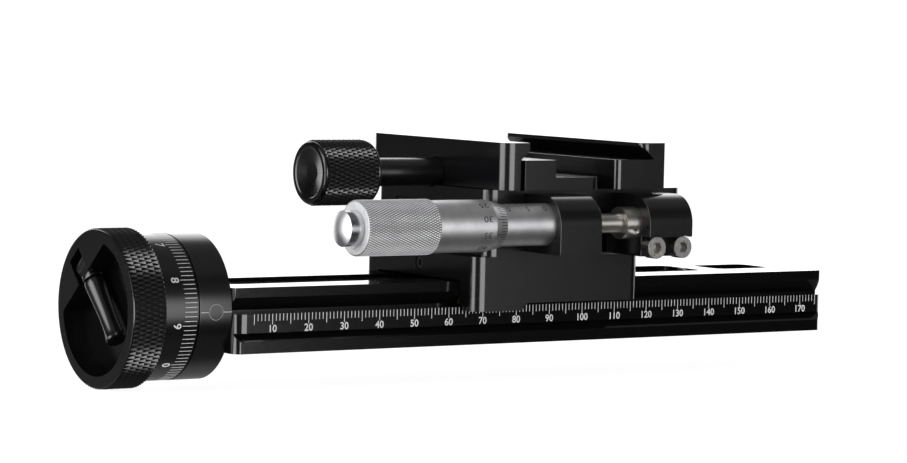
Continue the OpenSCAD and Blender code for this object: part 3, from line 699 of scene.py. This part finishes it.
def makeMicrometer(m):
    y, z = m["axisY"], m["axisZ"]
    grip = m["left"] + m["gripLong"]
    outline = [
        (m["left"], m["boreR"]), (m["left"], m["gripR"] - 0.4), (m["left"] + 0.18, m["gripR"] - 0.24),
        (m["left"] + 0.3, m["gripR"] - 0.34), (grip - 0.28, m["gripR"] - 0.34),
        (grip - 0.28, m["smoothR"] - 0.3), (grip, m["smoothR"] - 0.3), (grip, m["smoothR"]),
        (m["right"] - m["bevel"], m["smoothR"]), (m["right"], m["bevelR"]),
        (m["right"], m["cavityR"]), (m["cavity"], m["cavityR"]), (m["cavity"], m["boreR"]),
    ]
    bm = lathe(outline, y, z, 128, 0.05)
    keepPiece("thimble", bm, "satinChrome", "thimble", ("micrometer_thimble",))
    pitch = (m["gripLong"] - 0.4) / 15
    band = {"around": 68, "rows": 17, "pitch": pitch, "start": m["left"] - 0.9, "from": m["left"] + 0.14,
            "to": grip - 0.26, "crest": m["gripR"], "depth": 0.2, "blunt": 0.1, "axisY": y, "axisZ": z}
    grooved = keepPiece("thimbleKnurl", knurl(band), "frostedChrome", "thimble", angle=12)
    # the flanks take the darker chrome copy: painted shade between the diamonds
    grooved.data.materials.append(paint["paintedShadeChrome"])
    end = m["left"]
    top = end - m["capLong"]
    dome = [(top + m["domeRise"] * t * t, m["domeR"] * t) for t in [i / 8 for i in range(9)]]
    cap = dome + [(top + m["domeRise"] + 0.17, m["capR"]), (end - 0.14, m["capR"]), (end - 0.14, 3.9),
                  (end + 0.05, 3.9), (end + 0.05, 1.95), (end + 4, 1.95), (end + 4, 0)]
    bm = lathe(cap, y, z, 96, 0.08)
    for face in bm.faces:  # the dome is frosted, the side below it glossy
        face.material_index = 0 if abs(face.normal.x) > 0.5 else 1
    domed = keepPiece("thimbleEndCap", bm, "polishedChrome", "thimble", ("thimble_cap",))
    domed.data.materials.append(paint["neckChrome"])
    faceR = m["gripR"] - 0.42
    face = [(end - 0.03, 4.0), (end - 0.03, faceR), (end + 0.1, faceR), (end + 0.1, 4.0)]
    keepPiece("thimbleFace", lathe(face, y, z, 96), "blastedChrome", "thimble")
    sleeve = [(m["sleeveFrom"], m["spindleR"] + 0.05), (m["sleeveFrom"], m["sleeveR"]),
              (m["sleeveTo"], m["sleeveR"]), (m["sleeveTo"], m["spindleR"] + 0.05)]
    keepPiece("sleeve", lathe(sleeve, y, z, 128, 0.15), "satinChrome", "carriage",
              ("micrometer_sleeve",))


def makeMicrometerMarks(m, t, s):
    y, z = m["axisY"], m["axisZ"]
    bm = bmesh.new()
    slope = math.atan2(m["smoothR"] - m["bevelR"], m["bevel"])
    for i in range(t["divisions"]):
        five = i % 5 == 0
        long = t["long"] if five else t["short"]
        angle = t["at30"] - i * 360 / t["divisions"]
        turn = Matrix.Rotation(math.radians(-angle), 4, "X")
        mid = m["right"] - 0.15 - long / 2
        r = m["bevelR"] + (m["right"] - mid) * math.tan(slope) - 0.02
        place = Matrix.Translation((atReading(mid), y * mm, z * mm)) @ turn \
            @ Matrix.Translation((0, -r * mm, 0)) @ Matrix.Rotation(slope, 4, "Z")
        size = Matrix.Diagonal((long * mm, 0.07 * mm, t["wide"] * mm, 1))
        bmesh.ops.create_cube(bm, size=1.0, matrix=place @ size)
        if five:
            value = (30 + i) % t["divisions"]
            number = lettering(str(value), t["digits"], t["heavy"], width=t["stretch"])
            merge(bm, onRound(number, t["digitX"], angle, m["smoothR"], y, z, 180))
    keepPiece("thimbleMarks", bm, "darkPaint", "thimble")
    bm = bmesh.new()
    stripeOnRound(bm, s["zero"] - s["upTo"], s["zero"] + 0.6, s["lineAngle"], m["sleeveR"], s["wide"], y, z)
    half = s["wide"] / 2
    for i in range(2 * s["upTo"] + 1):
        side = 1 if i % 2 else -1  # whole millimetres on the numbers' side, halves on the other
        x = s["zero"] - i / 2
        long = s["long"] if i % 10 == 0 else s["short"]
        a = s["lineAngle"] + side * math.degrees(long / 2 / m["sleeveR"])
        stripeOnRound(bm, x - half, x + half, a, m["sleeveR"] - 0.03, long, y, z, 0.03)
    for value in range(0, s["upTo"] + 1, 5):
        number = lettering(str(value), s["digits"])
        merge(bm, onRound(number, s["zero"] - value - 0.6, s["digitAngle"], m["sleeveR"], y, z, 180))
    keepPiece("sleeveMarks", bm, "darkPaint", "carriage")


makeMicrometer(micrometer)
makeMicrometerMarks(micrometer, thimbleMarks, sleeveMarks)
eased("micrometer_spindle", "turnedSteel", 0.1)
eased("spindle_coupling", "turnedSteel", 0.25, 3)
eased("coupling_set_screw", "screwSteel", 0.12)
print("micrometer done")

# ---- clamp ----

for name in ("clamp_base", "fixed_jaw", "moving_jaw"):
    eased(name, "blackAnodised", 0.14)
eased("clamp_screw", "glossBlack", 0.1)

clampKnob = {
    "from": 31.1, "to": 47.4, "radius": 8.1, "axisZ": 41.4,
    "knurl": {"around": 50, "rows": 7, "pitch": 2.88, "start": 29.6, "from": 32.1, "to": 46.5,
              "crest": 8.1, "depth": 0.40, "axisY": 0, "axisZ": 41.4},
}


def makeClampKnob(k):
    f, t, r = k["from"], k["to"], k["radius"]
    band = k["knurl"]
    rim = r - 0.36
    outline = [
        (f + 1.0, 0), (f + 1.0, 2.4), (f + 0.2, 6.0), (f, 6.3), (f, rim - 0.4), (f + 0.4, rim),
        (band["from"] + 0.06, rim), (band["from"] + 0.06, rim - 0.2), (band["to"] - 0.06, rim - 0.2),
        (band["to"] - 0.06, rim), (t - 0.35, rim), (t, rim - 0.35), (t, 2.23), (t - 8, 2.23), (t - 8, 0),
    ]
    keepPiece("clampKnob", lathe(outline, 0, k["axisZ"], 96, 0.06), "turnedBlack", "clamp_drive",
              ("clamp_knob",))
    keepPiece("clampKnobKnurl", knurl(band), "knurledBlack", "clamp_drive", angle=12)


makeClampKnob(clampKnob)
print("clamp done")

for solid in nodes.values():  # no CAD solid keeps the plain colour it came with
    solid.data.materials.clear()
    solid.data.materials.append(paint["darkSteel"])
